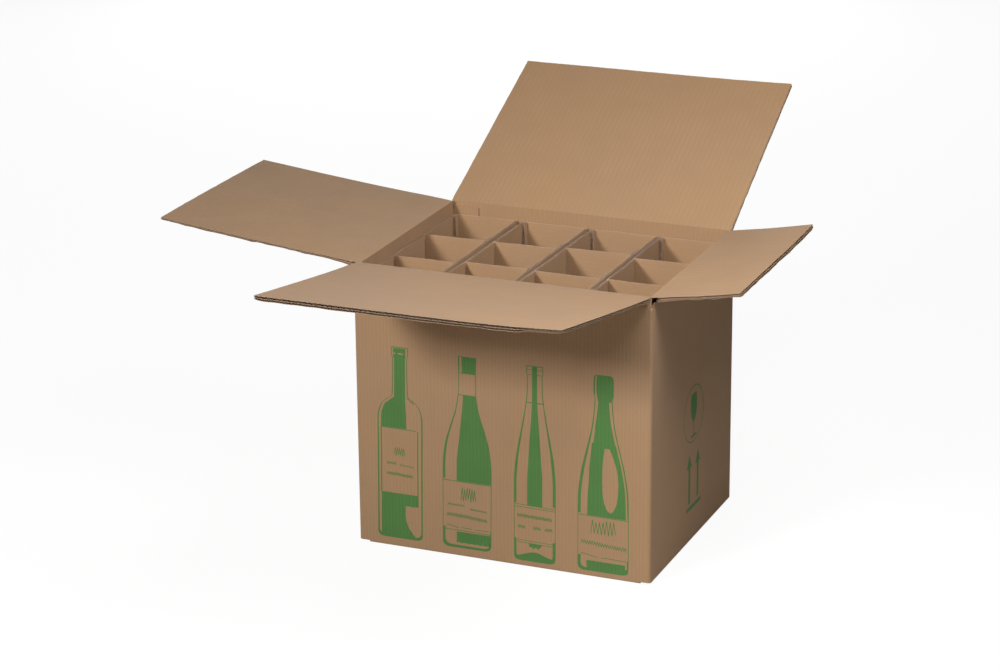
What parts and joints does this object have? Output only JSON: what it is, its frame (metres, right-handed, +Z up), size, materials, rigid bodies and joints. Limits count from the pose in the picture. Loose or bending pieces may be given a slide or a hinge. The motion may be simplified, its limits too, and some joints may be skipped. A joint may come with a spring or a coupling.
{
  "type": "bottle shipping carton",
  "caption": "Open-topped double-wall shipping carton with hinged lid flaps and upright folded dividers that make separate cells for bottles.",
  "frame": {"origin": "middle of the carton's footprint, on the floor it stands on", "axes": "+X to the right along the long walls, +Y from the front wall to the back wall, +Z up"},
  "size_m": [0.8522, 0.9311, 0.5488],
  "materials": {
    "carton_board": "matt brown kraft, double-wall corrugated",
    "divider_board": "matt brown kraft, single-wall corrugated"
  },
  "bodies": {
    "carton": {"carton_body": "carton_board", "divider_1": "divider_board", "divider_2": "divider_board", "divider_3": "divider_board", "divider_4": "divider_board"},
    "front_lid": {"front_flap": "carton_board"},
    "back_lid": {"back_flap": "carton_board"},
    "left_lid": {"left_flap": "carton_board"},
    "right_lid": {"right_flap": "carton_board"}
  },
  "joints": [
    {"name": "front_flap_crease", "type": "hinge", "parent": "carton", "child": "front_lid", "pos_m": [0, -0.163, 0.4086], "axis": [1, 0, 0], "range_deg": [-171, 39]},
    {"name": "back_flap_crease", "type": "hinge", "parent": "carton", "child": "back_lid", "pos_m": [0, 0.1664, 0.4049], "axis": [-1, 0, 0], "range_deg": [-153.7, 56.3]},
    {"name": "left_flap_crease", "type": "hinge", "parent": "carton", "child": "left_lid", "pos_m": [-0.2168, 0, 0.4012], "axis": [0, -1, 0], "range_deg": [-173.9, 36.1]},
    {"name": "right_flap_crease", "type": "hinge", "parent": "carton", "child": "right_lid", "pos_m": [0.2168, 0, 0.4012], "axis": [0, 1, 0], "range_deg": [-170.4, 39.6]}
  ]
}
